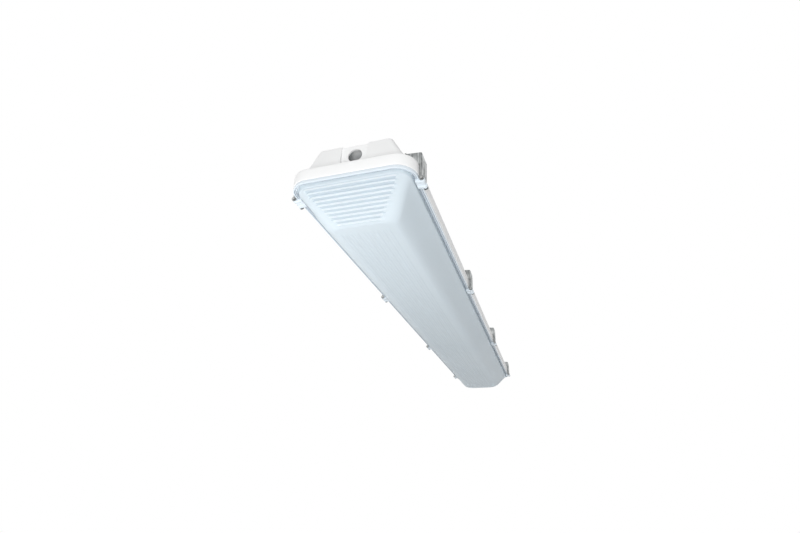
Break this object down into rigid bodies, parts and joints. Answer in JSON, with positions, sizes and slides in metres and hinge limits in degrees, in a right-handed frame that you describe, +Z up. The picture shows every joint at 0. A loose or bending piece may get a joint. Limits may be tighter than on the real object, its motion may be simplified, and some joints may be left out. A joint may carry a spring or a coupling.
{
  "type": "vapor tight light fixture",
  "caption": "Long sealed ceiling light: a white housing, a frosted ribbed lens held by stainless side latches, LED boards on a gear tray, and two ceiling brackets.",
  "frame": {"origin": "on the ceiling plane, midway between the two bracket bolts", "axes": "+Z up to the ceiling, +Y along the length towards the plugged end, +X across the width"},
  "size_m": [0.2048, 1.3, 0.1246],
  "materials": {
    "housing_plastic": "satin white glass-reinforced polyester",
    "frosted_lens": "frosted, slightly blue, smooth outside",
    "stainless": "brushed stainless steel",
    "tray_paint": "white gloss powder coat",
    "gasket_foam": "poured grey foam",
    "plug_plastic": "grey moulded plastic",
    "board_mask": "white solder mask",
    "led_phosphor": "yellow phosphor",
    "driver_case": "plain drawn aluminium",
    "zinc_screw": "zinc plated",
    "terminal_plastic": "light grey moulded plastic",
    "ground_green": "green dyed screw",
    "wire_black": "black PVC",
    "wire_white": "white PVC",
    "grommet_rubber": "black rubber"
  },
  "bodies": {
    "fixture": {"housing": "housing_plastic", "gasket": "gasket_foam", "bracket_near": "stainless", "bracket_far": "stainless", "entry_plug": "plug_plastic", "gear_tray": "tray_paint", "tray_screws": "zinc_screw", "board_screws": "zinc_screw", "board_jumpers": "terminal_plastic", "board_connectors": "terminal_plastic", "driver_case": "driver_case", "driver_screws": "zinc_screw", "terminal_block": "terminal_plastic", "terminal_screws": "zinc_screw", "ground_screw": "ground_green", "tray_grommet": "grommet_rubber", "supply_wires": "wire_black", "led_wires": "wire_white", "led_board_1": "board_mask", "led_chips_1": "led_phosphor", "led_board_2": "board_mask", "led_chips_2": "led_phosphor", "led_board_3": "board_mask", "led_chips_3": "led_phosphor", "led_board_4": "board_mask", "led_chips_4": "led_phosphor"},
    "lens_frame": {"lens": "frosted_lens", "latch_pins": "stainless"},
    "right_latch_1": {"latch_right_1": "stainless"},
    "right_latch_2": {"latch_right_2": "stainless"},
    "right_latch_3": {"latch_right_3": "stainless"},
    "right_latch_4": {"latch_right_4": "stainless"},
    "left_latch_1": {"latch_left_1": "stainless"},
    "left_latch_2": {"latch_left_2": "stainless"},
    "left_latch_3": {"latch_left_3": "stainless"},
    "left_latch_4": {"latch_left_4": "stainless"}
  },
  "joints": [
    {"name": "lens_drop", "type": "slide", "parent": "fixture", "child": "lens_frame", "axis": [0, 0, -1], "range_m": [0, 0.025]},
    {"name": "right_latch_1_swing", "type": "hinge", "parent": "lens_frame", "child": "right_latch_1", "pos_m": [0.0986, -0.6038, -0.0782], "axis": [0, 1, 0], "range_deg": [0, 150]},
    {"name": "right_latch_2_swing", "type": "hinge", "parent": "lens_frame", "child": "right_latch_2", "pos_m": [0.0986, -0.20127, -0.0782], "axis": [0, 1, 0], "range_deg": [0, 150]},
    {"name": "right_latch_3_swing", "type": "hinge", "parent": "lens_frame", "child": "right_latch_3", "pos_m": [0.0986, 0.20127, -0.0782], "axis": [0, 1, 0], "range_deg": [0, 150]},
    {"name": "right_latch_4_swing", "type": "hinge", "parent": "lens_frame", "child": "right_latch_4", "pos_m": [0.0986, 0.6038, -0.0782], "axis": [0, 1, 0], "range_deg": [0, 150]},
    {"name": "left_latch_1_swing", "type": "hinge", "parent": "lens_frame", "child": "left_latch_1", "pos_m": [-0.0986, -0.6038, -0.0782], "axis": [0, -1, 0], "range_deg": [0, 150]},
    {"name": "left_latch_2_swing", "type": "hinge", "parent": "lens_frame", "child": "left_latch_2", "pos_m": [-0.0986, -0.20127, -0.0782], "axis": [0, -1, 0], "range_deg": [0, 150]},
    {"name": "left_latch_3_swing", "type": "hinge", "parent": "lens_frame", "child": "left_latch_3", "pos_m": [-0.0986, 0.20127, -0.0782], "axis": [0, -1, 0], "range_deg": [0, 150]},
    {"name": "left_latch_4_swing", "type": "hinge", "parent": "lens_frame", "child": "left_latch_4", "pos_m": [-0.0986, 0.6038, -0.0782], "axis": [0, -1, 0], "range_deg": [0, 150]}
  ],
  "couplings": [
    {"joint": "right_latch_1_swing", "follows": "lens_drop", "rad_per_m": 104.7},
    {"joint": "right_latch_2_swing", "follows": "lens_drop", "rad_per_m": 104.7},
    {"joint": "right_latch_3_swing", "follows": "lens_drop", "rad_per_m": 104.7},
    {"joint": "right_latch_4_swing", "follows": "lens_drop", "rad_per_m": 104.7},
    {"joint": "left_latch_1_swing", "follows": "lens_drop", "rad_per_m": 104.7},
    {"joint": "left_latch_2_swing", "follows": "lens_drop", "rad_per_m": 104.7},
    {"joint": "left_latch_3_swing", "follows": "lens_drop", "rad_per_m": 104.7},
    {"joint": "left_latch_4_swing", "follows": "lens_drop", "rad_per_m": 104.7}
  ]
}
